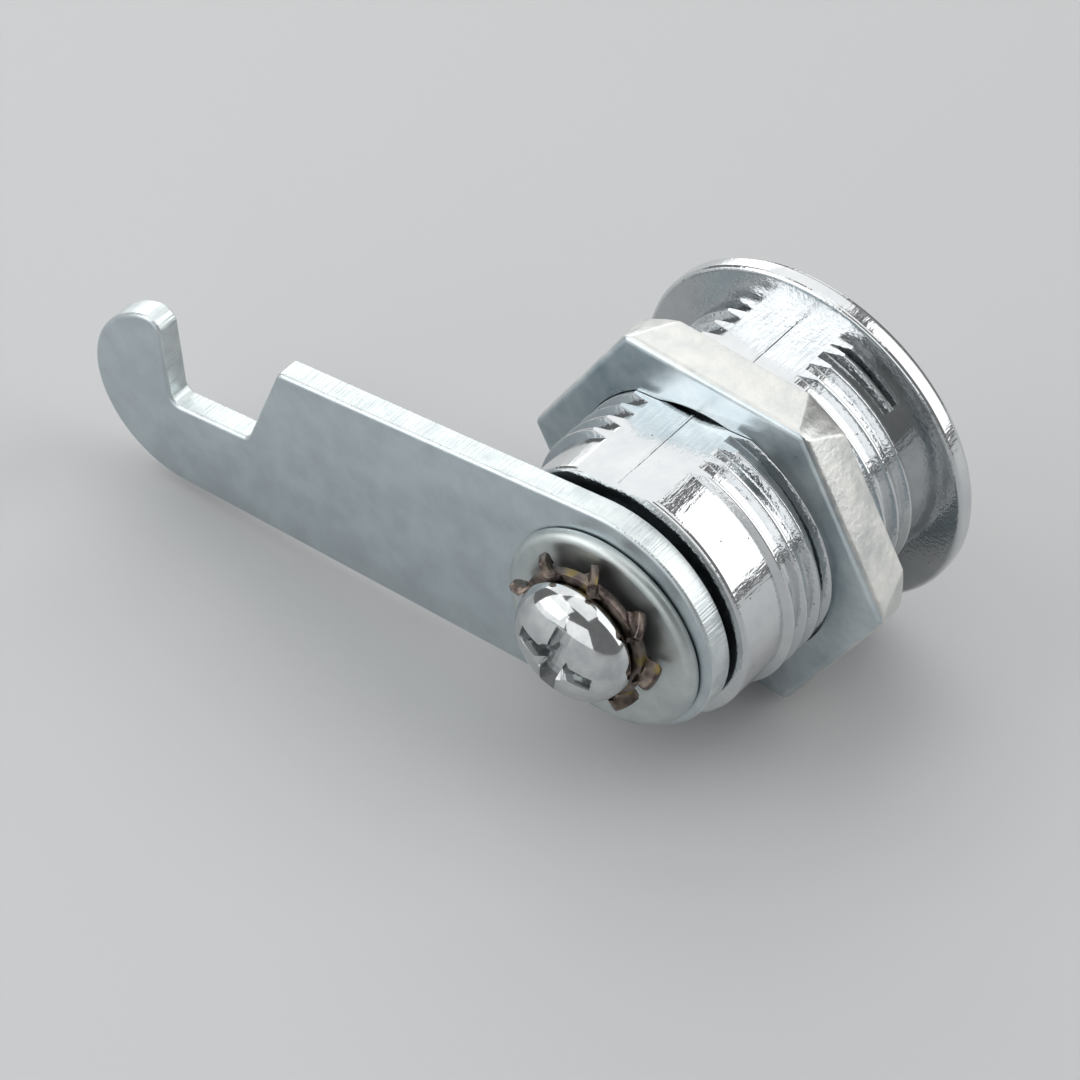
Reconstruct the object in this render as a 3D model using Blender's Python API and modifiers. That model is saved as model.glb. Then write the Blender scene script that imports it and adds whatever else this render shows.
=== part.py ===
"""Cam lock: a threaded barrel lock with a hooked cam, built piece by piece.

The lock is modelled in its own turning frame and stood up by one parent empty:
+z runs along the lock's axis towards the key, +x runs along the resting cam and
+y points up, the way the cam's hook opens. Lengths below are in millimetres.
"""
import math

import bmesh
import bpy
from mathutils import Matrix, Vector

MM = 0.001
MERGE = 1e-7

# Clearances
RUN_GAP = 0.3          # between pieces that turn or slide in each other
SIDE_GAP = 0.2         # between a plate and the walls that guide it
CLAMP_GAP = 0.1        # between the faces that the screw clamps together

# Housing
FLANGE_RADIUS = 11.5
FLANGE_LIP = 2.5       # how far the flange stands out past the thread
FLANGE_THICKNESS = 2.0
FLANGE_RIM = 1.0
BARREL_LENGTH = 16.2
NOSE_LENGTH = 2.3
BARREL_WALL = 2.5      # from the plug's side to the thread's root
THREAD_DEPTH = 0.5
THREAD_PITCH = 1.25
FLAT_DEPTH = 1.0       # how deep each flat is cut into the thread
RELIEF_DEPTH = 0.15    # shallow ring round the thread's foot, so that a panel seats flat
GROOVE_DEPTH = 1.2     # how far the locking grooves reach out past the plug
END_CHAMFER = 0.3

# Plug
HEAD_LIP = 1.0         # how far the plug's head stands out past its body
HEAD_THICKNESS = 1.1
SHOULDER_STANDOFF = 0.3
STOP_RECESS = 0.8
TANG_CUT = 0.8         # how far the tang's rounded corners stand in from the plug's side
TANG_SETBACK = 0.2     # how far the tang stays below the cam's outer face
KEYWAY_WIDTH = 2.0
KEYWAY_HEIGHT = 8.4

# Wafers
WAFER_COUNT = 5
WAFER_THICKNESS = 0.7
POCKET_SETBACK = 1.5   # how far a spring pocket stays in from the plug's side
FIRST_WAFER = 2.6      # depth of the first wafer behind the panel
WAFER_DROP = 0.4       # how far a wafer can be pushed down against its spring
WAFER_RISE = 0.9       # how far it springs up into the locking groove without the key
WINDOW_WIDTH = 2.6
WINDOW_HEIGHT = 6.2
KEY_CODE = (1, 3, 2, 4, 2)
CODE_STEP = 0.25
LUG_LENGTH = 1.5
LUG_HEIGHT = 1.2
LUG_BASE = -0.4
POCKET_FLOOR = -3.0
RETAINER_WIDTH = 5.0
RETAINER_SETBACK = 3.1  # from the barrel's end to the retaining wafer
RETAINER_REACH = 0.9   # how far the retaining wafer stands out of the plug
RETAINER_HEIGHT = 7.0

# Springs
WAFER_SPRING_RADIUS = 0.54
RETAINER_SPRING_RADIUS = 0.66
WIRE_RADIUS = 0.11
SPRING_TURNS = 4.5
RETAINER_SPRING_LENGTH = 2.2

# Cam, washers and screw
STOP_THICKNESS = 0.9
STOP_LUG_REACH = 1.2
STOP_LUG_ANGLE = 30.0
TURN_ANGLE = 90.0
CAM_THICKNESS = 1.6
CAM_RIM = 1.6          # how far the cam's round end stands out past the plug
CAM_END_DROP = 0.3     # how far the round end's centre lies below the cam's hole
CAM_EDGE_ROLL = 0.3
HOOK_CENTRE_X = 32.75
HOOK_CENTRE_Y = 0.8
HOOK_RADIUS = 6.3
NOTCH_FLOOR_Y = 0.65
NOTCH_FLOOR_LENGTH = 6.1
NOTCH_WALL_LEAN = 28.0
TIP_INSET = 0.35       # how far the hook's inner wall stands past its centre
CORNER_RADIUS = 0.7
TIP_ROUND = 1.0
POST_ROUND = 0.6
WASHER_RADIUS = 6.7
WASHER_ROLL = 0.6
WASHER_THICKNESS = 0.7
WASHER_SAG = 0.9      # how far the loose flat washer hangs down on the screw
STAR_THICKNESS = 0.6
STAR_BODY_RADIUS = 4.25
STAR_TIP_RADIUS = 5.05
STAR_TEETH = 8
STAR_TOOTH_WIDTH = 1.9
STAR_FIRST = 15.0      # degrees from the cam's line to the first tooth
STAR_TWIST = -50.0
SCREW_RADIUS = 1.9
SCREW_LENGTH = 5.6
SCREW_HEAD_RADIUS = 3.9
SCREW_HEAD_HEIGHT = 2.75
SCREW_UNDERCUT = 0.5   # height of the rounding under the head's widest line
CROSS_DEPTH = 1.9
CROSS_LENGTH = 5.4
CROSS_WIDTH = 1.25
CROSS_TURN = -8.0      # degrees that the cross is turned from the cam's line

# Hexagon nut
NUT_WALL = 2.0         # from the thread's crest to a flat of the nut
NUT_THICKNESS = 3.0
NUT_PLACE = 6.15       # distance of the nut's clamping face from the panel
NUT_TURN = 8.6         # degrees that a corner stands above the cam's line
NUT_EDGE_ROLL = 0.45   # rounding of the hexagon's edges on the side away from the panel
NUT_CORNER_CUT = 0.8   # how far the corners are turned down on the panel's side
NUT_CORNER_END = 0.15  # and on the other side
NUT_BORE_CHAMFER = 0.7

# Radii and widths that follow the flange, all worked out from the sizes above
CREST_RADIUS = FLANGE_RADIUS - FLANGE_LIP
ROOT_RADIUS = CREST_RADIUS - THREAD_DEPTH
PLUG_RADIUS = ROOT_RADIUS - BARREL_WALL
HALF_FLATS = CREST_RADIUS - FLAT_DEPTH
NUT_ACROSS_FLATS = 2 * (CREST_RADIUS + NUT_WALL)
HEAD_RADIUS = PLUG_RADIUS + HEAD_LIP
TANG_RADIUS = PLUG_RADIUS - TANG_CUT
TANG_SIZE = 1.4 * PLUG_RADIUS - 2 * SIDE_GAP  # its holes' corners stay just inside the plug's radius
WAFER_WIDTH = 2 * (PLUG_RADIUS - POCKET_SETBACK - LUG_LENGTH - SIDE_GAP)
CAM_END_RADIUS = PLUG_RADIUS + CAM_RIM

# Places along the axis, all worked out from the sizes above
BORE_RADIUS = PLUG_RADIUS + RUN_GAP
GROOVE_RADIUS = BORE_RADIUS + GROOVE_DEPTH
RELIEF_RADIUS = CREST_RADIUS + SIDE_GAP
SEAT_Z = FLANGE_THICKNESS - HEAD_THICKNESS - RUN_GAP
RECESS_Z = -(BARREL_LENGTH - STOP_RECESS)
SHOULDER_Z = RECESS_Z - SHOULDER_STANDOFF
STOP_Z = SHOULDER_Z - CLAMP_GAP
CAM_Z = STOP_Z - STOP_THICKNESS - CLAMP_GAP
WASHER_Z = CAM_Z - CAM_THICKNESS - CLAMP_GAP
TOOTH_HALF_HEIGHT = (STAR_TOOTH_WIDTH / 2 * math.sin(math.radians(abs(STAR_TWIST)))
                     + STAR_THICKNESS / 2 * math.cos(math.radians(STAR_TWIST)))
STAR_Z = WASHER_Z - WASHER_THICKNESS - CLAMP_GAP - TOOTH_HALF_HEIGHT
HEAD_Z = STAR_Z - STAR_THICKNESS / 2 - CLAMP_GAP
RETAINER_Z = -(BARREL_LENGTH - RETAINER_SETBACK)
SLOT_HALF = WAFER_THICKNESS / 2 + SIDE_GAP
SCREW_TIP_Z = HEAD_Z + SCREW_LENGTH
SCREW_HOLE_RADIUS = SCREW_RADIUS + RUN_GAP


def clear_scene() -> None:
    """Remove every object that the file already holds."""
    for obj in list(bpy.data.objects):
        bpy.data.objects.remove(obj, do_unlink=True)


def new_collection(name: str) -> bpy.types.Collection:
    """Return a new collection linked into the scene."""
    group = bpy.data.collections.new(name)
    bpy.context.scene.collection.children.link(group)
    return group


clear_scene()
PARTS = new_collection("cam_lock")
CUTTERS = new_collection("cam_lock_cutters")


def new_empty(name: str, parent: bpy.types.Object | None, place=(0.0, 0.0, 0.0)) -> bpy.types.Object:
    """Return an empty that carries the pieces of one moving group."""
    empty = bpy.data.objects.new(name, None)
    empty.empty_display_size = 5 * MM
    empty.location = Vector(place) * MM
    empty.parent = parent
    PARTS.objects.link(empty)
    return empty


ROOT = new_empty("cam_lock_frame", None)
ROOT.rotation_euler = (math.radians(90.0), 0.0, 0.0)
PLUG_AXIS = new_empty("plug_axis", ROOT)
NUT_AXIS = new_empty("nut_axis", ROOT, (0.0, 0.0, -NUT_PLACE))


def finish(name: str, colour: tuple, roughness: float, metallic: float = 1.0) -> bpy.types.Material:
    """Return a Principled material of one plain colour."""
    material = bpy.data.materials.new(name)
    material.use_nodes = True
    shader = material.node_tree.nodes["Principled BSDF"]
    shader.inputs["Base Color"].default_value = (*colour, 1.0)
    shader.inputs["Roughness"].default_value = roughness
    shader.inputs["Metallic"].default_value = metallic
    return material


def add_object(name: str, mesh: bpy.types.Mesh, group: bpy.types.Collection,
               parent: bpy.types.Object, place=(0.0, 0.0, 0.0)) -> bpy.types.Object:
    """Link a mesh as an object under its parent, at a place in millimetres."""
    obj = bpy.data.objects.new(name, mesh)
    obj.parent = parent
    obj.location = Vector(place) * MM
    group.objects.link(obj)
    if group is CUTTERS:
        obj.hide_render = True
        obj.display_type = "WIRE"
    return obj


def lathe(name: str, profile: list, steps: int, group: bpy.types.Collection,
          parent: bpy.types.Object, closed: bool = True, place=(0.0, 0.0, 0.0)) -> bpy.types.Object:
    """Turn a profile of (radius, z) points about the z axis.

    Args:
        name: name of the new object.
        profile: points that run down the outer side, and up the bore if closed.
        steps: number of flat strips round the piece.
        group: collection that takes the object.
        parent: object that carries it.
        closed: whether the last point joins the first one.
        place: where the object's origin lies, in millimetres.

    Returns:
        The object, with its Screw modifier.
    """
    mesh = bpy.data.meshes.new(name)
    points = [(r * MM, 0.0, z * MM) for r, z in profile]
    edges = [(i, i + 1) for i in range(len(points) - 1)]
    if closed:
        edges.append((len(points) - 1, 0))
    mesh.from_pydata(points, edges, [])
    obj = add_object(name, mesh, group, parent, place)
    screw = obj.modifiers.new("turn", "SCREW")
    screw.axis = "Z"
    screw.angle = math.tau
    screw.steps = steps
    screw.render_steps = steps
    screw.use_merge_vertices = True
    screw.merge_threshold = MERGE
    screw.use_smooth_shade = False
    return obj


def boxes(name: str, spans: list, parent: bpy.types.Object) -> bpy.types.Object:
    """Return a cutter made of boxes that lie apart from each other.

    Args:
        name: name of the cutter.
        spans: one ((x0, x1), (y0, y1), (z0, z1)) for each box.
        parent: object that carries the cutter.
    """
    mesh = bpy.data.meshes.new(name)
    work = bmesh.new()
    for span in spans:
        size = [(b - a) * MM for a, b in span]
        centre = [(a + b) / 2 * MM for a, b in span]
        move = Matrix.Translation(centre) @ Matrix.Diagonal((*size, 1.0))
        bmesh.ops.create_cube(work, size=1.0, matrix=move)
    work.to_mesh(mesh)
    work.free()
    return add_object(name, mesh, CUTTERS, parent)


def plate(name: str, outlines: list, z_top: float, thickness: float, group: bpy.types.Collection,
          parent: bpy.types.Object, place=(0.0, 0.0)) -> bpy.types.Object:
    """Return a flat plate from a 2D outline, with further outlines as its holes.

    Args:
        name: name of the new object.
        outlines: lists of (x, y) points, the outer one first.
        z_top: height of the plate's upper face.
        thickness: plate thickness, measured down from z_top.
        group: collection that takes the object.
        parent: object that carries it.
        place: x and y of the object's origin.
    """
    curve = bpy.data.curves.new(name, "CURVE")
    curve.dimensions = "2D"
    curve.fill_mode = "BOTH"
    curve.extrude = thickness / 2 * MM
    for outline in outlines:
        spline = curve.splines.new("POLY")
        spline.points.add(len(outline) - 1)
        for point, (x, y) in zip(spline.points, outline):
            point.co = (x * MM, y * MM, 0.0, 1.0)
        spline.use_cyclic_u = True
    shape = bpy.data.objects.new(name + "_outline", curve)
    CUTTERS.objects.link(shape)
    mesh = mesh_of(shape, name)
    bpy.data.objects.remove(shape, do_unlink=True)
    return add_object(name, mesh, group, parent, (place[0], place[1], z_top - thickness / 2))


def mesh_of(obj: bpy.types.Object, name: str) -> bpy.types.Mesh:
    """Return the evaluated mesh of an object, with its loose caps welded."""
    bpy.context.view_layer.update()
    graph = bpy.context.evaluated_depsgraph_get()
    mesh = bpy.data.meshes.new_from_object(obj.evaluated_get(graph))
    mesh.name = name
    work = bmesh.new()
    work.from_mesh(mesh)
    bmesh.ops.remove_doubles(work, verts=work.verts, dist=MERGE)
    bmesh.ops.recalc_face_normals(work, faces=work.faces)
    work.to_mesh(mesh)
    work.free()
    return mesh


def combine(target: bpy.types.Object, tool: bpy.types.Object, operation: str) -> None:
    """Cut, join or intersect the target with the tool."""
    step = target.modifiers.new(tool.name, "BOOLEAN")
    step.operation = operation
    step.solver = "EXACT"
    step.object = tool


def roll_edges(obj: bpy.types.Object, width: float, segments: int, chosen) -> None:
    """Bevel the edges that the test picks, by their two ends in millimetres."""
    mesh = obj.data
    work = bmesh.new()
    work.from_mesh(mesh)
    layer = work.edges.layers.float.new("bevel_weight_edge")
    for edge in work.edges:
        ends = [vert.co / MM for vert in edge.verts]
        edge[layer] = 1.0 if chosen(*ends) else 0.0
    work.to_mesh(mesh)
    work.free()
    bevel = obj.modifiers.new("rolled_edge", "BEVEL")
    bevel.limit_method = "WEIGHT"
    bevel.width = width * MM
    bevel.segments = segments
    bevel.use_clamp_overlap = True


def arc(centre: tuple, radius: float, start: float, end: float, steps: int) -> list:
    """Return points on a circle from one angle to another, in degrees."""
    points = []
    for i in range(steps + 1):
        angle = math.radians(start + (end - start) * i / steps)
        points.append((centre[0] + radius * math.cos(angle), centre[1] + radius * math.sin(angle)))
    return points


def rounded_corner(before: tuple, corner: tuple, after: tuple, radius: float, steps: int = 4) -> list:
    """Return the points of a fillet that replaces one corner of an outline."""
    here = Vector(corner)
    a = (Vector(before) - here).normalized()
    b = (Vector(after) - here).normalized()
    half = a.angle(b) / 2
    reach = radius / math.tan(half)
    middle = here + (a + b).normalized() * radius / math.sin(half)
    start = here + a * reach - middle
    end = here + b * reach - middle
    points = []
    for i in range(steps + 1):
        blend = start.slerp(end, i / steps).normalized() * radius
        points.append(tuple(middle + blend))
    return points


def square(side: float) -> list:
    """Return the corners of a centred square."""
    h = side / 2
    return [(-h, -h), (h, -h), (h, h), (-h, h)]


def shade(obj: bpy.types.Object, material: bpy.types.Material, angle: float = 30.0) -> None:
    """Give a finished piece its material and smooth its round faces."""
    obj.data.materials.append(material)
    obj.data.shade_smooth()
    obj.data.set_sharp_from_angle(angle=math.radians(angle))
    for step in obj.modifiers:
        if step.type == "SCREW":
            step.use_smooth_shade = True


CHROME = finish("bright_chrome", (0.80, 0.81, 0.82), 0.08)
ZINC = finish("blue_white_zinc", (0.62, 0.68, 0.70), 0.32)
BRONZE = finish("dark_spring_steel", (0.16, 0.13, 0.11), 0.45)
BRASS = finish("brass", (0.72, 0.55, 0.28), 0.35)
PLATED = finish("bright_nickel_on_zinc", (0.72, 0.71, 0.68), 0.18)
WIRE = finish("spring_wire", (0.45, 0.45, 0.46), 0.30)
NICKEL = finish("bright_nickel", (0.78, 0.78, 0.76), 0.15)


def thread_ridge() -> bpy.types.Object:
    """Return the barrel's right-hand ridge as one closed helical solid.

    The ridge's section is turned and lifted by a Screw modifier, its foot sunk in
    the barrel, and its two open ends are closed.
    """
    foot = ROOT_RADIUS - 0.3
    section = [(CREST_RADIUS, 0.12), (CREST_RADIUS, -0.12), (foot, -0.48 * THREAD_PITCH),
               (foot, 0.48 * THREAD_PITCH)]
    first_z = -(BARREL_LENGTH - NOSE_LENGTH - THREAD_PITCH / 2)
    turns = int((-first_z - THREAD_PITCH / 2) / THREAD_PITCH)
    ridge = lathe("thread_section", [(r, z + first_z) for r, z in section], 30, CUTTERS, ROOT)
    screw = ridge.modifiers["turn"]
    screw.use_merge_vertices = False
    screw.screw_offset = THREAD_PITCH * MM
    screw.iterations = turns
    mesh = mesh_of(ridge, "thread_ridge")
    bpy.data.objects.remove(ridge, do_unlink=True)
    work = bmesh.new()
    work.from_mesh(mesh)
    open_edges = [edge for edge in work.edges if edge.is_boundary]
    bmesh.ops.holes_fill(work, edges=open_edges, sides=0)
    bmesh.ops.recalc_face_normals(work, faces=work.faces)
    work.to_mesh(mesh)
    work.free()
    return add_object("thread_ridge", mesh, CUTTERS, ROOT)


def crown(steps: int = 5) -> list:
    """Return the flange's crowned front, from the plug's seat out to the rim."""
    inner = HEAD_RADIUS + RUN_GAP
    points = []
    for i in range(steps + 1):
        angle = math.pi / 2 * i / steps
        r = inner + (FLANGE_RADIUS - inner) * math.sin(angle)
        z = FLANGE_RIM + (FLANGE_THICKNESS - FLANGE_RIM) * math.cos(angle)
        points.append((r, z))
    return points


def build_housing() -> bpy.types.Object:
    """Model the die-cast housing: flange, threaded barrel, nose and bore."""
    back = 0.3
    retainer_top = RETAINER_Z + SLOT_HALF + SIDE_GAP
    retainer_bottom = RETAINER_Z - SLOT_HALF - SIDE_GAP
    profile = crown()
    profile += [(FLANGE_RADIUS, back), (FLANGE_RADIUS - back, 0.0), (RELIEF_RADIUS, 0.0),
                (RELIEF_RADIUS, RELIEF_DEPTH), (ROOT_RADIUS, RELIEF_DEPTH),
                (ROOT_RADIUS, -BARREL_LENGTH + END_CHAMFER),
                (ROOT_RADIUS - END_CHAMFER, -BARREL_LENGTH),
                (BORE_RADIUS, -BARREL_LENGTH),
                (BORE_RADIUS, retainer_bottom), (GROOVE_RADIUS, retainer_bottom),
                (GROOVE_RADIUS, retainer_top), (BORE_RADIUS, retainer_top),
                (BORE_RADIUS, SEAT_Z), (HEAD_RADIUS + RUN_GAP, SEAT_Z)]
    housing = lathe("housing", profile, 56, PARTS, ROOT)
    combine(housing, thread_ridge(), "UNION")
    past = CREST_RADIUS + 1.0
    end = -BARREL_LENGTH - 1.0
    flats = boxes("barrel_flats", [((-past, past), (HALF_FLATS, past), (end, 0.0)),
                                   ((-past, past), (-past, -HALF_FLATS), (end, 0.0))], ROOT)
    combine(housing, flats, "DIFFERENCE")
    half = WAFER_WIDTH / 2 + RUN_GAP
    grooves = boxes("locking_grooves", [((-half, half), (-GROOVE_RADIUS, GROOVE_RADIUS),
                                         (retainer_bottom, SEAT_Z + 0.1))], ROOT)
    combine(housing, grooves, "DIFFERENCE")
    reach = (TURN_ANGLE + STOP_LUG_ANGLE) / 2 + 1.0
    outer = PLUG_RADIUS + STOP_LUG_REACH + RUN_GAP
    sector = arc((0, 0), outer, -reach, reach, 24) + arc((0, 0), PLUG_RADIUS - 1.0, reach, -reach, 24)
    recess = plate("stop_recess", [sector], RECESS_Z, -end + RECESS_Z, CUTTERS, ROOT)
    combine(housing, recess, "DIFFERENCE")
    shade(housing, CHROME)
    return housing


def build_nut() -> bpy.types.Object:
    """Model the hexagon nut, chamfered on the side away from the panel."""
    mesh = bpy.data.meshes.new("hex_nut")
    work = bmesh.new()
    corner = NUT_ACROSS_FLATS / math.sqrt(3.0)
    turn = Matrix.Rotation(math.radians(NUT_TURN - 90.0), 4, "Z")
    drop = Matrix.Translation((0.0, 0.0, -NUT_THICKNESS / 2 * MM))
    bmesh.ops.create_cone(work, cap_ends=True, segments=6, radius1=corner * MM, radius2=corner * MM,
                          depth=NUT_THICKNESS * MM, matrix=drop @ turn)
    outer = [edge for edge in work.edges if all(vert.co.z < -0.9 * NUT_THICKNESS * MM for vert in edge.verts)]
    bmesh.ops.bevel(work, geom=outer, offset=NUT_EDGE_ROLL * MM, segments=2, affect="EDGES", profile=0.5)
    work.to_mesh(mesh)
    work.free()
    nut = add_object("hex_nut", mesh, PARTS, NUT_AXIS)
    bore = CREST_RADIUS + RUN_GAP
    wide = bore + NUT_BORE_CHAMFER
    cut = corner - NUT_CORNER_CUT
    end = corner - NUT_CORNER_END
    past = -NUT_THICKNESS - 1.0
    ring = [(cut, 1.0), (cut, 0.0), (end, -NUT_THICKNESS), (end, past), (wide + 1.0, past),
            (bore, -NUT_THICKNESS + NUT_BORE_CHAMFER), (bore, -0.3), (bore + 0.3, 0.0), (bore + 0.3, 1.0)]
    chamfers = lathe("nut_chamfers", ring, 60, CUTTERS, NUT_AXIS)
    combine(nut, chamfers, "INTERSECT")
    shade(nut, ZINC)
    return nut


def wafer_depth(index: int) -> float:
    """Return the z of a wafer's middle plane."""
    run = -RETAINER_Z - FIRST_WAFER
    return -(FIRST_WAFER + run * index / WAFER_COUNT)


def wafer_side(index: int) -> int:
    """Return the side, +1 or -1, that a wafer's spring lug stands on."""
    return 1 if index % 2 == 0 else -1


def build_plug() -> bpy.types.Object:
    """Model the turned plug: head, slotted body, shoulder and square tang."""
    tang_end = CAM_Z - CAM_THICKNESS + TANG_SETBACK
    hole_end = SCREW_TIP_Z + 0.4
    profile = [(HEAD_RADIUS - 0.25, FLANGE_THICKNESS), (HEAD_RADIUS, FLANGE_THICKNESS - 0.25),
               (HEAD_RADIUS, FLANGE_THICKNESS - HEAD_THICKNESS), (PLUG_RADIUS, FLANGE_THICKNESS - HEAD_THICKNESS),
               (PLUG_RADIUS, SHOULDER_Z), (TANG_RADIUS, SHOULDER_Z), (TANG_RADIUS, tang_end),
               (SCREW_HOLE_RADIUS, tang_end), (SCREW_HOLE_RADIUS, hole_end), (0.0, hole_end + 0.9)]
    profile.insert(0, (0.0, FLANGE_THICKNESS))
    plug = lathe("plug", profile, 48, PARTS, PLUG_AXIS, closed=False)
    past = PLUG_RADIUS + 1.0
    half_tang = TANG_SIZE / 2
    end = tang_end - 1.0
    for axis in (0, 1):
        spans = []
        for low, high in ((half_tang, past), (-past, -half_tang)):
            span = [(-past, past), (-past, past), (end, SHOULDER_Z)]
            span[axis] = (low, high)
            spans.append(tuple(span))
        combine(plug, boxes(f"tang_flats_{'xy'[axis]}", spans, PLUG_AXIS), "DIFFERENCE")
    half = WAFER_WIDTH / 2 + SIDE_GAP
    slots, pockets = [], []
    for index in range(WAFER_COUNT):
        z, side = wafer_depth(index), wafer_side(index)
        slots.append(((-half, half), (-past, past), (z - SLOT_HALF, z + SLOT_HALF)))
        ends = sorted((side * (half - 0.5), side * (WAFER_WIDTH / 2 + LUG_LENGTH + SIDE_GAP)))
        room = WAFER_SPRING_RADIUS + WIRE_RADIUS + SIDE_GAP
        pockets.append((tuple(ends), (POCKET_FLOOR, LUG_BASE + LUG_HEIGHT + WAFER_RISE + SIDE_GAP),
                        (z - room, z + room)))
    combine(plug, boxes("wafer_slots", slots, PLUG_AXIS), "DIFFERENCE")
    combine(plug, boxes("spring_pockets", pockets, PLUG_AXIS), "DIFFERENCE")
    keyway_end = wafer_depth(WAFER_COUNT - 1) - SLOT_HALF - 0.2
    keyway = boxes("keyway", [((-KEYWAY_WIDTH / 2, KEYWAY_WIDTH / 2),
                               (-KEYWAY_HEIGHT / 2, KEYWAY_HEIGHT / 2),
                               (keyway_end, FLANGE_THICKNESS + 1.0))], PLUG_AXIS)
    combine(plug, keyway, "DIFFERENCE")
    wide = RETAINER_WIDTH / 2 + SIDE_GAP
    back = retainer_back()
    retainer_slot = boxes("retainer_slot", [((-wide, wide), (-past, back + RETAINER_REACH + SIDE_GAP),
                                             (RETAINER_Z - SLOT_HALF, RETAINER_Z + SLOT_HALF))], PLUG_AXIS)
    combine(plug, retainer_slot, "DIFFERENCE")
    room = RETAINER_SPRING_RADIUS + WIRE_RADIUS + SIDE_GAP
    spring_hole = boxes("retainer_spring_hole", [((-room, room), (back, back + RETAINER_SPRING_LENGTH
                                                                   + 2 * CLAMP_GAP),
                                                  (RETAINER_Z - room, RETAINER_Z + room))], PLUG_AXIS)
    combine(plug, spring_hole, "DIFFERENCE")
    shade(plug, PLATED)
    return plug


def retainer_back() -> float:
    """Return the y of the retaining wafer's inner end at rest."""
    return -(PLUG_RADIUS + RETAINER_REACH) + RETAINER_HEIGHT


def build_wafer(index: int) -> bpy.types.Object:
    """Model one wafer: a thin plate with round ends, a key window and a spring lug."""
    half = WAFER_WIDTH / 2
    side = wafer_side(index)
    low = PLUG_RADIUS - 0.05 - WAFER_DROP
    high = PLUG_RADIUS - 0.05
    low_angle = math.degrees(math.acos(half / low))
    high_angle = math.degrees(math.acos(half / high))
    outline = arc((0, 0), low, -180 + low_angle, -low_angle, 8)
    outline += [(half, LUG_BASE), (half + LUG_LENGTH, LUG_BASE),
                (half + LUG_LENGTH, LUG_BASE + LUG_HEIGHT), (half, LUG_BASE + LUG_HEIGHT)]
    outline += arc((0, 0), high, high_angle, 180 - high_angle, 8)
    base = -WINDOW_HEIGHT / 2 + KEY_CODE[index % len(KEY_CODE)] * CODE_STEP - 0.5
    window = [(-WINDOW_WIDTH / 2, base), (WINDOW_WIDTH / 2, base),
              (WINDOW_WIDTH / 2, base + WINDOW_HEIGHT), (-WINDOW_WIDTH / 2, base + WINDOW_HEIGHT)]
    outlines = [[(side * x, y) for x, y in line] for line in (outline, window)]
    z = wafer_depth(index)
    wafer = plate(f"wafer_{index + 1}", outlines, z + WAFER_THICKNESS / 2, WAFER_THICKNESS, PARTS, PLUG_AXIS)
    shade(wafer, BRASS)
    return wafer


def spring(name: str, radius: float, place: tuple, length: float) -> bpy.types.Object:
    """Return a coil spring that stands along y from a place, as a bevelled curve."""
    curve = bpy.data.curves.new(name, "CURVE")
    curve.dimensions = "3D"
    curve.bevel_depth = WIRE_RADIUS * MM
    curve.bevel_resolution = 1
    curve.use_fill_caps = True
    per_turn = 8
    count = int(SPRING_TURNS * per_turn)
    run = length - 2 * WIRE_RADIUS
    spline = curve.splines.new("POLY")
    spline.points.add(count)
    for i, point in enumerate(spline.points):
        angle = math.tau * i / per_turn
        y = WIRE_RADIUS + run * i / count
        point.co = (radius * math.cos(angle) * MM, y * MM, radius * math.sin(angle) * MM, 1.0)
    obj = bpy.data.objects.new(name, curve)
    obj.parent = PLUG_AXIS
    obj.location = Vector(place) * MM
    PARTS.objects.link(obj)
    curve.materials.append(WIRE)
    return obj


def build_wafer_spring(index: int) -> bpy.types.Object:
    """Model the coil under one wafer's lug, in its pocket of the plug."""
    x = wafer_side(index) * (WAFER_WIDTH / 2 + (LUG_LENGTH + SIDE_GAP) / 2 + 0.05)
    floor = POCKET_FLOOR + CLAMP_GAP
    length = LUG_BASE - CLAMP_GAP - floor
    return spring(f"wafer_spring_{index + 1}", WAFER_SPRING_RADIUS, (x, floor, wafer_depth(index)), length)


def build_retainer() -> bpy.types.Object:
    """Model the sprung wafer that keeps the plug in the housing."""
    half = RETAINER_WIDTH / 2
    reach = PLUG_RADIUS + RETAINER_REACH
    angle = math.degrees(math.acos(half / reach))
    outline = arc((0, 0), reach, -180 + angle, -angle, 8)
    outline += [(half, retainer_back()), (-half, retainer_back())]
    wafer = plate("retaining_wafer", [outline], RETAINER_Z + WAFER_THICKNESS / 2, WAFER_THICKNESS,
                  PARTS, PLUG_AXIS)
    shade(wafer, BRASS)
    return wafer


def build_stop_washer() -> bpy.types.Object:
    """Model the keyed washer whose lug runs in the housing's recess."""
    rest = -TURN_ANGLE / 2
    half = STOP_LUG_ANGLE / 2
    disc = PLUG_RADIUS
    outline = arc((0, 0), disc + STOP_LUG_REACH, rest - half, rest + half, 6)
    outline += arc((0, 0), disc, rest + half, rest - half + 360, 44)
    washer = plate("stop_washer", [outline, square(TANG_SIZE + 2 * SIDE_GAP)], STOP_Z, STOP_THICKNESS,
                   PARTS, PLUG_AXIS)
    shade(washer, ZINC)
    return washer


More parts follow.
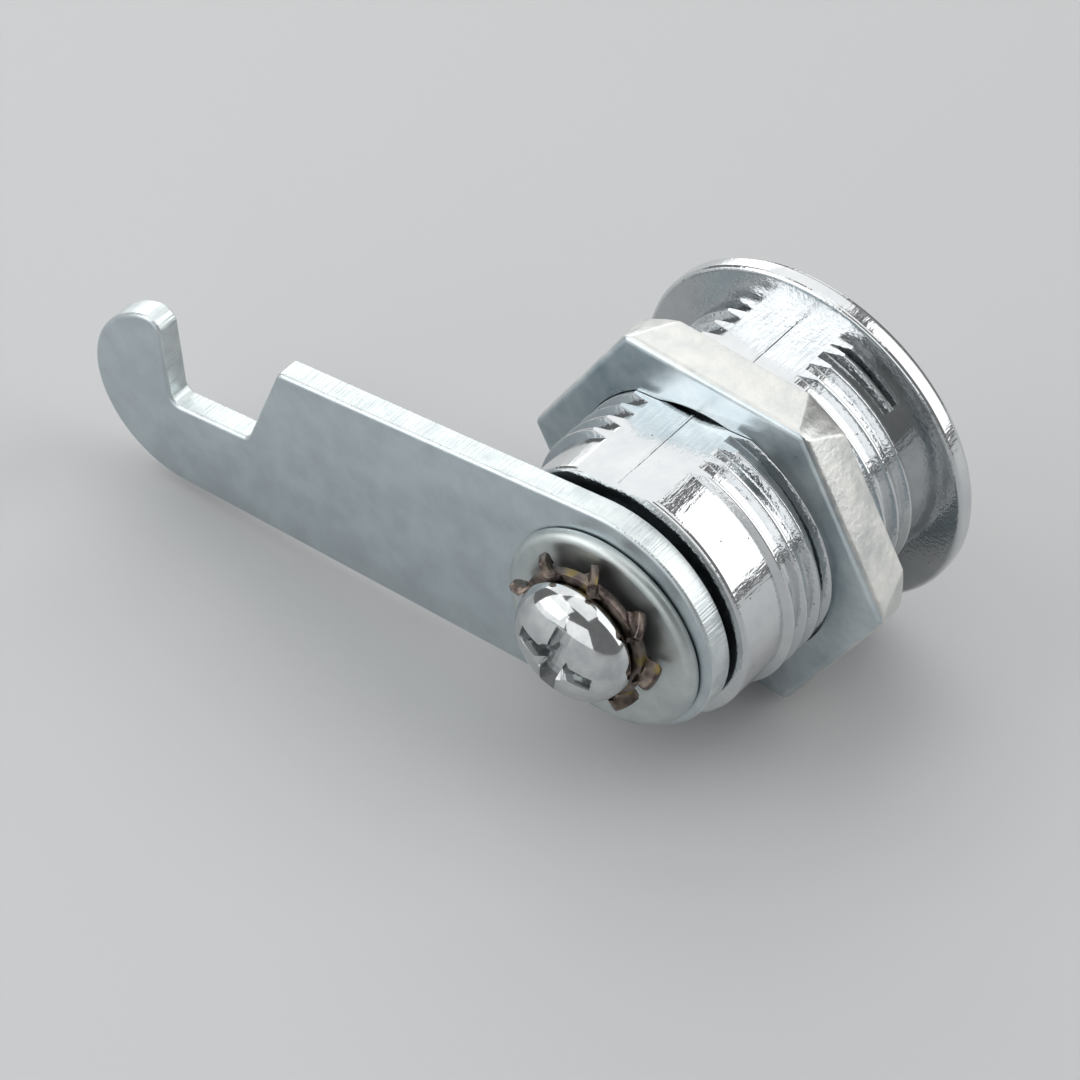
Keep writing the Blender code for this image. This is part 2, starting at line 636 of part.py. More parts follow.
def cam_outline() -> list:
    """Return the cam's outline: round end, tapering arm, hook and notch."""
    hook = Vector((HOOK_CENTRE_X, HOOK_CENTRE_Y))
    end = Vector((0.0, -CAM_END_DROP))
    arm = hook - end
    spread = math.degrees(math.asin((CAM_END_RADIUS - HOOK_RADIUS) / arm.length))
    bearing = math.degrees(math.atan2(arm.y, arm.x))
    top = 90.0 + bearing - spread
    low = -90.0 + bearing + spread
    inner_x = HOOK_CENTRE_X + TIP_INSET
    floor_start = inner_x - NOTCH_FLOOR_LENGTH
    edge_a = Vector(arc(tuple(end), CAM_END_RADIUS, top, top, 1)[0])
    edge_b = Vector(arc(tuple(hook), HOOK_RADIUS, top, top, 1)[0])
    lean = math.tan(math.radians(NOTCH_WALL_LEAN))
    slope = (edge_b.y - edge_a.y) / (edge_b.x - edge_a.x)
    rise = edge_a.y + slope * (floor_start - edge_a.x) - NOTCH_FLOOR_Y
    post_y = NOTCH_FLOOR_Y + rise / (1.0 + slope * lean)
    post = (floor_start - lean * (post_y - NOTCH_FLOOR_Y), post_y)
    heel = (floor_start, NOTCH_FLOOR_Y)
    toe = (inner_x, NOTCH_FLOOR_Y)
    tip_y = HOOK_CENTRE_Y + math.sqrt(HOOK_RADIUS ** 2 - TIP_INSET ** 2)
    tip = (inner_x - 0.2, tip_y)
    past_tip = (inner_x + 2.0, tip_y)
    outline = arc(tuple(end), CAM_END_RADIUS, top, 360 + low, 26)
    tip_angle = math.degrees(math.acos((TIP_INSET + 1.6 * TIP_ROUND) / HOOK_RADIUS))
    outline += arc(tuple(hook), HOOK_RADIUS, low, tip_angle, 22)
    outline += rounded_corner(past_tip, tip, toe, TIP_ROUND)
    outline += rounded_corner(tip, toe, heel, CORNER_RADIUS)
    outline += rounded_corner(toe, heel, post, CORNER_RADIUS)
    outline += rounded_corner(heel, post, tuple(edge_a), POST_ROUND)
    return outline


def build_cam() -> bpy.types.Object:
    """Model the hooked cam: a pressed plate with a square hole and rolled edges."""
    cam = plate("cam", [cam_outline(), square(TANG_SIZE + 2 * SIDE_GAP)], CAM_Z, CAM_THICKNESS,
                PARTS, PLUG_AXIS)
    hole = TANG_SIZE

    def rolled(a: Vector, b: Vector) -> bool:
        low = a.z < 0 and b.z < 0
        outside = max(abs(a.x), abs(a.y)) > hole * 0.6 or max(abs(b.x), abs(b.y)) > hole * 0.6
        return low and outside

    roll_edges(cam, CAM_EDGE_ROLL, 2, rolled)
    shade(cam, ZINC)
    return cam


def ring_profile(inner: float, outer: float, top: float, thickness: float, roll: float) -> list:
    """Return the section of a washer whose lower outer edge is rolled."""
    bottom = top - thickness
    points = [(outer, top)]
    points += [(outer - roll + roll * math.cos(a), bottom + roll - roll * math.sin(a))
               for a in (0.0, math.pi / 6, math.pi / 3, math.pi / 2)]
    points += [(inner, bottom), (inner, top)]
    return points


def build_cam_washer() -> bpy.types.Object:
    """Model the flat washer that lies on the cam."""
    profile = ring_profile(SCREW_HOLE_RADIUS + WASHER_SAG, WASHER_RADIUS, 0.0, WASHER_THICKNESS, WASHER_ROLL)
    washer = lathe("cam_washer", profile, 48, PARTS, PLUG_AXIS, place=(0, -WASHER_SAG, WASHER_Z))
    shade(washer, ZINC)
    return washer


def build_star_washer() -> bpy.types.Object:
    """Model the toothed lock washer, a flat ring with twisted outer teeth."""
    half = STAR_THICKNESS / 2
    ring = [(STAR_BODY_RADIUS, half), (STAR_BODY_RADIUS, -half),
            (SCREW_HOLE_RADIUS, -half), (SCREW_HOLE_RADIUS, half)]
    washer = lathe("star_washer", ring, 40, PARTS, PLUG_AXIS, place=(0, 0, STAR_Z))
    mesh = bpy.data.meshes.new("star_teeth")
    work = bmesh.new()
    start = SCREW_HEAD_RADIUS + CLAMP_GAP + 0.05
    length = STAR_TIP_RADIUS - start
    for i in range(STAR_TEETH):
        around = Matrix.Rotation(math.radians(STAR_FIRST) + math.tau * i / STAR_TEETH, 4, "Z")
        twist = Matrix.Rotation(math.radians(STAR_TWIST), 4, "X")
        out = Matrix.Translation(((start + length / 2) * MM, 0.0, 0.0))
        size = Matrix.Diagonal((length * MM, STAR_TOOTH_WIDTH * MM, STAR_THICKNESS * MM, 1.0))
        bmesh.ops.create_cube(work, size=1.0, matrix=around @ twist @ out @ size)
    work.to_mesh(mesh)
    work.free()
    teeth = add_object("star_teeth", mesh, CUTTERS, PLUG_AXIS, (0, 0, STAR_Z))
    combine(washer, teeth, "UNION")
    shade(washer, BRONZE)
    return washer


def build_screw() -> bpy.types.Object:
    """Model the pan-head screw with its cross recess."""
    top = -SCREW_HEAD_HEIGHT
    rise = SCREW_HEAD_HEIGHT - SCREW_UNDERCUT
    crown_points = []
    for i in range(1, 8):
        angle = math.pi / 2 * i / 7
        crown_points.append((SCREW_HEAD_RADIUS * math.cos(angle) ** 0.8, -SCREW_UNDERCUT - rise * math.sin(angle)))
    crown_points[-1] = (0.0, top)
    profile = [(0.0, SCREW_LENGTH), (SCREW_RADIUS - 0.4, SCREW_LENGTH),
               (SCREW_RADIUS, SCREW_LENGTH - 0.4), (SCREW_RADIUS, 0.0),
               (SCREW_HEAD_RADIUS - 0.3, 0.0), (SCREW_HEAD_RADIUS - 0.05, -SCREW_UNDERCUT / 2),
               (SCREW_HEAD_RADIUS, -SCREW_UNDERCUT)]
    profile += crown_points
    screw = lathe("cam_screw", profile, 40, PARTS, PLUG_AXIS, closed=False, place=(0, 0, HEAD_Z))
    wide = CROSS_LENGTH / 2
    past = 0.3
    for name, turn in (("cross_slot_a", CROSS_TURN), ("cross_slot_b", CROSS_TURN + 90.0)):
        mesh = bpy.data.meshes.new(name)
        work = bmesh.new()
        square_up = Matrix.Rotation(math.radians(45.0), 4, "Z")
        bmesh.ops.create_cone(work, cap_ends=True, segments=4, radius1=wide * math.sqrt(2) * MM,
                              radius2=0.4 * wide * math.sqrt(2) * MM, depth=(CROSS_DEPTH + past) * MM,
                              matrix=square_up)
        bmesh.ops.scale(work, vec=(1.0, CROSS_WIDTH / CROSS_LENGTH, 1.0), verts=work.verts)
        work.to_mesh(mesh)
        work.free()
        slot = add_object(name, mesh, CUTTERS, PLUG_AXIS,
                          (0, 0, HEAD_Z - SCREW_HEAD_HEIGHT + (CROSS_DEPTH - past) / 2))
        slot.rotation_euler = (0.0, 0.0, math.radians(turn))
        combine(screw, slot, "DIFFERENCE")
    shade(screw, NICKEL)
    return screw


def main() -> None:
    """Build every piece of the lock."""
    build_housing()
    build_nut()
    build_plug()
    for index in range(WAFER_COUNT):
        build_wafer(index)
        build_wafer_spring(index)
    build_retainer()
    spring("retaining_spring", RETAINER_SPRING_RADIUS, (0.0, retainer_back() + CLAMP_GAP, RETAINER_Z),
           RETAINER_SPRING_LENGTH)
    build_stop_washer()
    build_cam()
    build_cam_washer()
    build_star_washer()
    build_screw()


main()
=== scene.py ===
"""Looks of the cam lock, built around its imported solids.

The lock's own frame is used throughout: +y runs along its axis from the key face to the
cam, +x along the resting cam and +z up, the way the cam's hook opens. Shapes are worked
in millimetres and turned to metres when a piece is finished.
"""
from __future__ import annotations

import logging
import math
from collections.abc import Callable
from dataclasses import dataclass
from enum import Enum

import bmesh
import bpy
from mathutils import Matrix, Vector


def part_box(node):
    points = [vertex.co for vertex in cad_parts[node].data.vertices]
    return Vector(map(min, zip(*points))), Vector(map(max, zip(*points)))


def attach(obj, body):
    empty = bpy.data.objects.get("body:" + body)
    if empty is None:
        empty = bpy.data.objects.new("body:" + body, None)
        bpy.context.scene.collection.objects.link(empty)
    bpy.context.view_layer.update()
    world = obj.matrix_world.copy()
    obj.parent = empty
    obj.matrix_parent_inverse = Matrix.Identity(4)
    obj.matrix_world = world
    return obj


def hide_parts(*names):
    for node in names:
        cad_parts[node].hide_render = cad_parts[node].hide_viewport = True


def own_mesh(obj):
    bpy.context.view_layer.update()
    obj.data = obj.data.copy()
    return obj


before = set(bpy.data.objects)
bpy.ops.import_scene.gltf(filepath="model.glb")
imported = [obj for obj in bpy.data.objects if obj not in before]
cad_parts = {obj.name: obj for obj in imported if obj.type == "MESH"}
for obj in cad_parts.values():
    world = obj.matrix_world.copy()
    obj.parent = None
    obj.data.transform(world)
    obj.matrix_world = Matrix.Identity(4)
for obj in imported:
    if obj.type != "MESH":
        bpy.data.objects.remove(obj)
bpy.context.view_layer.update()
LOG = logging.getLogger("cam_lock")
MM = 0.001
WELD = 0.0004     # millimetres within which two corners are one


# Shaping

def smooth(value: float) -> float:
    """Return a soft step from 0 to 1 as the value goes from 0 to 1."""
    clipped = min(1.0, max(0.0, value))
    return clipped * clipped * (3.0 - 2.0 * clipped)


def soften(corners: list[tuple[float, float, float]], steps: int = 6) -> list[tuple[float, float]]:
    """Round the corners of a closed outline.

    Args:
        corners: (across, along, rounding) of each corner, a rounding of 0 leaves it sharp.
        steps: flat steps in each rounding.

    Returns:
        The points of the rounded outline, in the same order.
    """
    points: list[tuple[float, float]] = []
    for index, (across, along, rounding) in enumerate(corners):
        here = Vector((across, along))
        if rounding <= 0.0:
            points.append((across, along))
            continue
        before = (Vector(corners[index - 1][:2]) - here).normalized()
        after = (Vector(corners[(index + 1) % len(corners)][:2]) - here).normalized()
        half = before.angle(after) / 2.0
        reach = rounding / math.tan(half)
        middle = here + (before + after).normalized() * rounding / math.sin(half)
        first = here + before * reach - middle
        last = here + after * reach - middle
        start = math.atan2(first.y, first.x)
        turn = (math.atan2(last.y, last.x) - start + math.pi) % math.tau - math.pi
        for step in range(steps + 1):
            angle = start + turn * step / steps
            points.append((middle.x + rounding * math.cos(angle), middle.y + rounding * math.sin(angle)))
    return points


def arc(centre: tuple[float, float], radius: float, start: float, end: float,
        steps: int) -> list[tuple[float, float]]:
    """Return points on a circle from one angle to another, in degrees."""
    angles = [math.radians(start + (end - start) * step / steps) for step in range(steps + 1)]
    return [(centre[0] + radius * math.cos(a), centre[1] + radius * math.sin(a)) for a in angles]


def turned(section: list[tuple[float, float]], steps: int, closed: bool = True) -> bmesh.types.BMesh:
    """Spin a section of (radius, y) points once round the lock's axis.

    Args:
        section: points of the section, in order.
        steps: flat strips round the piece.
        closed: whether the last point joins the first.

    Returns:
        A new mesh with its seam and poles closed and its faces pointing outwards.
    """
    work = bmesh.new()
    corners = [work.verts.new((radius, y, 0.0)) for radius, y in section]
    edges = [work.edges.new(pair) for pair in zip(corners, corners[1:])]
    if closed:
        edges.append(work.edges.new((corners[-1], corners[0])))
    bmesh.ops.spin(work, geom=corners + edges, cent=(0, 0, 0), axis=(0, 1, 0), angle=math.tau,
                   steps=steps, use_merge=True)
    bmesh.ops.remove_doubles(work, verts=work.verts, dist=WELD)
    bmesh.ops.recalc_face_normals(work, faces=work.faces)
    return work


def slab(outline: list[tuple[float, float]], low: float, high: float) -> bmesh.types.BMesh:
    """Extrude an outline along the lock's axis.

    Args:
        outline: (x, z) points of the outline, in order.
        low: y of the first face.
        high: y of the last face.

    Returns:
        A new closed mesh.
    """
    work = bmesh.new()
    corners = [work.verts.new((x, low, z)) for x, z in outline]
    face = work.faces.new(corners)
    grown = bmesh.ops.extrude_face_region(work, geom=[face])["geom"]
    moved = [item for item in grown if isinstance(item, bmesh.types.BMVert)]
    bmesh.ops.translate(work, verts=moved, vec=(0.0, high - low, 0.0))
    bmesh.ops.recalc_face_normals(work, faces=work.faces)
    return work


def block(low: tuple[float, float, float], high: tuple[float, float, float]) -> bmesh.types.BMesh:
    """Make a box along the frame's axes.

    Args:
        low: its corner with the lowest x, y and z.
        high: the opposite corner.

    Returns:
        A new mesh.
    """
    work = bmesh.new()
    size = Vector(high) - Vector(low)
    centre = (Vector(high) + Vector(low)) / 2.0
    bmesh.ops.create_cube(work, size=1.0, matrix=Matrix.Translation(centre) @ Matrix.Diagonal((*size, 1.0)))
    return work


def loose_object(work: bmesh.types.BMesh, name: str) -> bpy.types.Object:
    """Turn a work mesh into an object of the scene.

    Args:
        work: the mesh, freed here.
        name: name of the object and of its mesh data.

    Returns:
        The new object, at the origin.
    """
    mesh = bpy.data.meshes.new(name)
    work.to_mesh(mesh)
    work.free()
    obj = bpy.data.objects.new(name, mesh)
    bpy.context.scene.collection.objects.link(obj)
    return obj


def combined(work: bmesh.types.BMesh, tools: list[tuple[str, bmesh.types.BMesh]]) -> bmesh.types.BMesh:
    """Cut, join or intersect a mesh with other meshes, one after the other.

    Args:
        work: mesh that is changed, freed here.
        tools: ("DIFFERENCE", "UNION" or "INTERSECT", mesh) in order, freed here.

    Returns:
        The new mesh, its doubles merged after each step.
    """
    for operation, tool in tools:
        pair = [loose_object(work, "blank"), loose_object(tool, "tool")]
        step = pair[0].modifiers.new("step", "BOOLEAN")
        step.operation = operation
        step.solver = "EXACT"
        step.object = pair[1]
        graph = bpy.context.evaluated_depsgraph_get()
        result = bpy.data.meshes.new_from_object(pair[0].evaluated_get(graph))
        work = bmesh.new()
        work.from_mesh(result)
        bpy.data.meshes.remove(result)
        for obj in pair:
            spare = obj.data
            bpy.data.objects.remove(obj)
            bpy.data.meshes.remove(spare)
        bmesh.ops.remove_doubles(work, verts=work.verts, dist=WELD)
    return work


def joined(target: bmesh.types.BMesh, other: bmesh.types.BMesh) -> bmesh.types.BMesh:
    """Add another mesh's faces to a mesh without cutting either.

    Args:
        target: mesh that takes the faces.
        other: mesh that gives them, freed here.

    Returns:
        The target.
    """
    mesh = bpy.data.meshes.new("joined")
    other.to_mesh(mesh)
    other.free()
    target.from_mesh(mesh)
    bpy.data.meshes.remove(mesh)
    return target


class Body(str, Enum):
    """The moving groups that a new piece can ride on."""

    HOUSING = "housing"
    NUT = "nut"
    PLUG = "plug"


def finished(work: bmesh.types.BMesh, name: str, body: Body, replaces: str,
             finishes: list[bpy.types.Material], crease: float = 32.0) -> bpy.types.Object:
    """Finish a piece: metres, materials, smooth faces, its body and CAD node.

    Args:
        work: the shape in millimetres, freed here.
        name: name of the piece.
        body: moving group that carries it.
        replaces: CAD node that it stands for.
        finishes: its materials, by face material index.
        crease: angle in degrees past which an edge stays sharp.

    Returns:
        The new object.
    """
    bmesh.ops.scale(work, vec=(MM, MM, MM), verts=work.verts)
    piece = loose_object(work, name)
    for material in finishes:
        piece.data.materials.append(material)
    piece.data.shade_smooth()
    piece.data.set_sharp_from_angle(angle=math.radians(crease))
    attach(piece, body.value)
    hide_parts(replaces)
    LOG.info("%s: %d faces on %s", name, len(piece.data.polygons), body.value)
    return piece


# Finishes

def linear(shade: str) -> tuple[float, float, float, float]:
    """Turn an sRGB hex colour into linear light.

    Args:
        shade: the colour, such as #A0B0C0.

    Returns:
        Its linear red, green and blue, and an alpha of 1.
    """
    parts = [int(shade[i:i + 2], 16) / 255.0 for i in (1, 3, 5)]
    lit = [part / 12.92 if part <= 0.04045 else ((part + 0.055) / 1.055) ** 2.4 for part in parts]
    return (lit[0], lit[1], lit[2], 1.0)


def add_node(tree: bpy.types.NodeTree, kind: str, inputs: dict | None = None, **fields) -> bpy.types.Node:
    """Add a shader node, set its fields and feed its inputs.

    Args:
        tree: node tree that takes the node.
        kind: node type without its leading "ShaderNode".
        inputs: input name or number, to a value or to the output socket that feeds it.
        fields: the node's own settings.

    Returns:
        The new node.
    """
    node = tree.nodes.new("ShaderNode" + kind)
    for name, value in fields.items():
        setattr(node, name, value)
    for name, value in (inputs or {}).items():
        if isinstance(value, bpy.types.NodeSocket):
            tree.links.new(value, node.inputs[name])
        else:
            node.inputs[name].default_value = value
    return node


def per_mm(size: float) -> float:
    """Return the texture scale at which one pattern cell is this many millimetres."""
    return 1.0 / (size * MM)


@dataclass(frozen=True)
class Metal:
    """A metal surface with clouding, fine grain, specks and optional drawn lines.

    Pattern sizes and depths are in millimetres, roughness runs from 0 to 1, turns are in
    radians and colours are sRGB hex. A fleck, wave depth or line of 0 leaves that pattern out.
    """

    name: str
    shade: str
    shade_low: str
    cloud: float = 3.0
    rough: tuple[float, float] = (0.10, 0.20)
    grain: float = 0.12
    grain_depth: float = 0.0012
    wave: float = 3.0
    wave_depth: float = 0.0
    fleck: float = 0.0
    fleck_share: float = 0.08
    fleck_rare: float = 0.55
    fleck_shade: str = "#E8EEF0"
    fleck_stretch: tuple[float, float, float] = (1.0, 1.0, 1.0)
    line: float = 0.0
    line_depth: float = 0.0
    line_turn: tuple[float, float, float] = (0.0, 0.0, 0.0)
    line_stretch: float = 0.05

    def make(self) -> bpy.types.Material:
        """Build the metal's shader from its patterns.

        Returns:
            The new material.
        """
        material = bpy.data.materials.new(self.name)
        material.use_nodes = True
        tree = material.node_tree
        shader = tree.nodes["Principled BSDF"]
        shader.inputs["Metallic"].default_value = 1.0
        place = add_node(tree, "TexCoord").outputs["Object"]
        cloud = add_node(tree, "TexNoise", {"Vector": place, "Scale": per_mm(self.cloud), "Detail": 4.0,
                                            "Roughness": 0.6}).outputs["Fac"]
        grain = add_node(tree, "TexNoise", {"Vector": place, "Scale": per_mm(self.grain),
                                            "Detail": 3.0}).outputs["Fac"]
        share = add_node(tree, "MapRange", {"Value": cloud, "From Min": 0.35, "From Max": 0.65})
        colour = add_node(tree, "Mix", {0: share.outputs[0], 6: linear(self.shade_low),
                                        7: linear(self.shade)}, data_type="RGBA").outputs[2]
        rough = add_node(tree, "MapRange", {"Value": cloud, "From Min": 0.3, "From Max": 0.7,
                                            "To Min": self.rough[0], "To Max": self.rough[1]}).outputs[0]
        if self.fleck > 0.0:
            spread = add_node(tree, "Mapping", {"Vector": place, "Rotation": (0.0, 0.35, 0.0),
                                                "Scale": self.fleck_stretch})
            cell = add_node(tree, "TexVoronoi", {"Vector": spread.outputs[0], "Scale": per_mm(self.fleck)})
            dot = add_node(tree, "MapRange", {"Value": cell.outputs["Distance"], "From Min": self.fleck_share,
                                              "From Max": self.fleck_share * 0.6})
            # most cells stay without a speck, so that no rows show
            pick = add_node(tree, "Math", {0: cell.outputs["Color"], 1: self.fleck_rare},
                            operation="GREATER_THAN")
            dot = add_node(tree, "Math", {0: dot.outputs[0], 1: pick.outputs[0]},
                           operation="MULTIPLY")
            colour = add_node(tree, "Mix", {0: dot.outputs[0], 6: colour, 7: linear(self.fleck_shade)},
                              data_type="RGBA").outputs[2]
            rough = add_node(tree, "Mix", {0: dot.outputs[0], 2: rough, 3: 0.5}).outputs[0]
        bump = add_node(tree, "Bump", {"Height": grain, "Distance": self.grain_depth * MM})
        if self.wave_depth > 0.0:
            wave = add_node(tree, "TexNoise", {"Vector": place, "Scale": per_mm(self.wave), "Detail": 1.0})
            bump = add_node(tree, "Bump", {"Height": wave.outputs["Fac"], "Distance": self.wave_depth * MM,
                                           "Normal": bump.outputs[0]})
        if self.line > 0.0:
            drawn = add_node(tree, "Mapping", {"Vector": place, "Rotation": self.line_turn,
                                               "Scale": (1.0, self.line_stretch, 1.0)})
            lines = add_node(tree, "TexNoise", {"Vector": drawn.outputs[0], "Scale": per_mm(self.line),
                                                "Detail": 2.0})
            bump = add_node(tree, "Bump", {"Height": lines.outputs["Fac"], "Distance": self.line_depth * MM,
                                           "Normal": bump.outputs[0]})
        tree.links.new(colour, shader.inputs["Base Color"])
        tree.links.new(rough, shader.inputs["Roughness"])
        tree.links.new(bump.outputs[0], shader.inputs["Normal"])
        return material


# Bright chromium over polished die-cast zinc: mirror gloss on a slightly wavy casting, with small pits
CHROME = Metal("bright_chrome_on_casting", "#D8DADB", "#CCCFD1", cloud=2.2, rough=(0.04, 0.13), wave=3.5,
               wave_depth=0.010, grain=0.14, grain_depth=0.005, fleck=0.8, fleck_share=0.08,
               fleck_shade="#4A4E50", line=0.26, line_depth=0.020, line_stretch=0.22)
# Blue-white zinc plate on a pressed steel plate: satin, cloudy, with fine bright scratches
CAM_ZINC = Metal("blue_zinc_plate_on_rolled_steel", "#C3CDD1", "#B7C1C6", cloud=1.9, rough=(0.30, 0.42),
                 fleck=0.7, fleck_share=0.14, fleck_rare=0.62, fleck_shade="#E6ECEE",
                 fleck_stretch=(0.8, 1.0, 1.3))
# The same plate over a sheared edge: drawn lines run slanting across the thickness
CAM_EDGE = Metal("blue_zinc_plate_on_sheared_edge", "#DCE2E2", "#C8D0D1", cloud=1.2, rough=(0.30, 0.42),
                 line=0.16, line_depth=0.05, line_turn=(0.6, 0.0, 0.0))
# Blue-white zinc plate on the nut's machined face
NUT_FACE = Metal("blue_zinc_plate_on_nut_face", "#D2DBDE", "#B3C0C5", cloud=2.8, rough=(0.26, 0.40),
                 grain_depth=0.002, fleck=0.9, fleck_share=0.07)
# The same plate over the rolled bar's skin: pale and coarse
NUT_SIDE = Metal("blue_zinc_plate_on_rolled_bar", "#E0E0DC", "#CDD0CE", cloud=1.4, rough=(0.30, 0.45),
                 grain=0.38, grain_depth=0.028, line=0.35, line_depth=0.012)
# Satin zinc plate on a stamped washer
WASHER_ZINC = Metal("satin_zinc_plate_on_washer", "#C9CFCE", "#B5BDBD", cloud=2.2, rough=(0.36, 0.48),
                    fleck=1.0, fleck_share=0.06)
# Oil-darkened spring steel: brown to violet, half gloss, rough at its sheared edges
STAR_STEEL = Metal("oil_darkened_spring_steel", "#83786F", "#4F4645", cloud=0.9, rough=(0.24, 0.42),
                   grain=0.18, grain_depth=0.012, fleck=1.2, fleck_share=0.40, fleck_shade="#857650")
# Bright zinc and nickel on a cold-headed screw: near mirror with small dents
SCREW_PLATE = Metal("bright_plate_on_screw", "#D2D4D4", "#B9BDBF", cloud=1.2, rough=(0.05, 0.13), wave=1.6,
                    wave_depth=0.02, grain_depth=0.0006, fleck=0.9, fleck_share=0.05, fleck_shade="#8A8F92")
# Nickel over turned zinc for the plug, as bright as its housing but warmer
PLUG_NICKEL = Metal("bright_nickel_on_zinc", "#C8C4BC", "#B9B5AE", cloud=3.0, rough=(0.10, 0.18),
                    grain_depth=0.0008)
# Stamped brass for the wafers
WAFER_BRASS = Metal("stamped_brass", "#C9A35E", "#A98445", cloud=1.5, rough=(0.25, 0.4))
# Drawn spring wire
SPRING_WIRE = Metal("drawn_spring_wire", "#8D8F92", "#6F7175", cloud=0.8, rough=(0.25, 0.35))
# Zinc plate on the hidden stop washer
STOP_ZINC = Metal("zinc_plate_on_stop_washer", "#8F979A", "#767E82", cloud=2.0, rough=(0.3, 0.42))


# The lock's sub-assemblies

@dataclass
class Thread:
    """A right-hand ridge wound round the barrel, in millimetres.

    Its foot is sunk below the root, and it fades into the barrel over a short way at both ends.
    """

    pitch: float = 1.25
    root: float = 8.5
    crest: float = 9.0
    crest_half: float = 0.1
    crest_round: float = 0.1
    foot_half: float = 0.34
    foot_spread: float = 0.12
    sunk: float = 0.35
    buried: float = 0.06
    first: float = 13.275
    turns: float = 10.4
    steps: int = 120
    fade: float = 0.35

    def section(self) -> list[tuple[float, float]]:
        """Draw the ridge's section, its foot sunk in the barrel.

        Returns:
            Its (radius, y) points, in order.
        """
        low = self.root - self.sunk
        wide = self.foot_half + self.foot_spread
        return soften([(low, -wide, 0.0), (self.root, -self.foot_half, 0.0),
                       (self.crest, -self.crest_half, self.crest_round),
                       (self.crest, self.crest_half, self.crest_round),
                       (self.root, self.foot_half, 0.0), (low, wide, 0.0)], 6)

    def build(self) -> bmesh.types.BMesh:
        """Wind the section along the barrel as one closed ridge that fades at both ends.

        Returns:
            The ridge's mesh.
        """
        work = bmesh.new()
        corners = [work.verts.new((radius, self.first + y, 0.0)) for radius, y in self.section()]
        edges = [work.edges.new(pair) for pair in zip(corners, corners[1:] + corners[:1])]
        count = round(self.turns * self.steps)
        # a right-hand thread: a turn that carries +x towards +z moves towards the key face
        bmesh.ops.spin(work, geom=corners + edges, cent=(0, 0, 0), axis=(0, 1, 0),
                       angle=-math.tau * self.turns, steps=count, dvec=(0.0, -self.pitch / self.steps, 0.0))
        ends = [edge for edge in work.edges if edge.is_boundary]
        bmesh.ops.holes_fill(work, edges=ends, sides=0)
        last = self.first - self.pitch * self.turns
        for vert in work.verts:
            radius = math.hypot(vert.co.x, vert.co.z)
            inside = (smooth((self.first + self.foot_half - vert.co.y) / self.fade)
                      * smooth((vert.co.y - last + self.foot_half) / self.fade))
            if radius > self.root - 0.05:
                scale = (self.root - self.buried + (radius - self.root + self.buried) * inside) / radius
                vert.co.x *= scale
                vert.co.z *= scale
        bmesh.ops.recalc_face_normals(work, faces=work.faces)
        return work


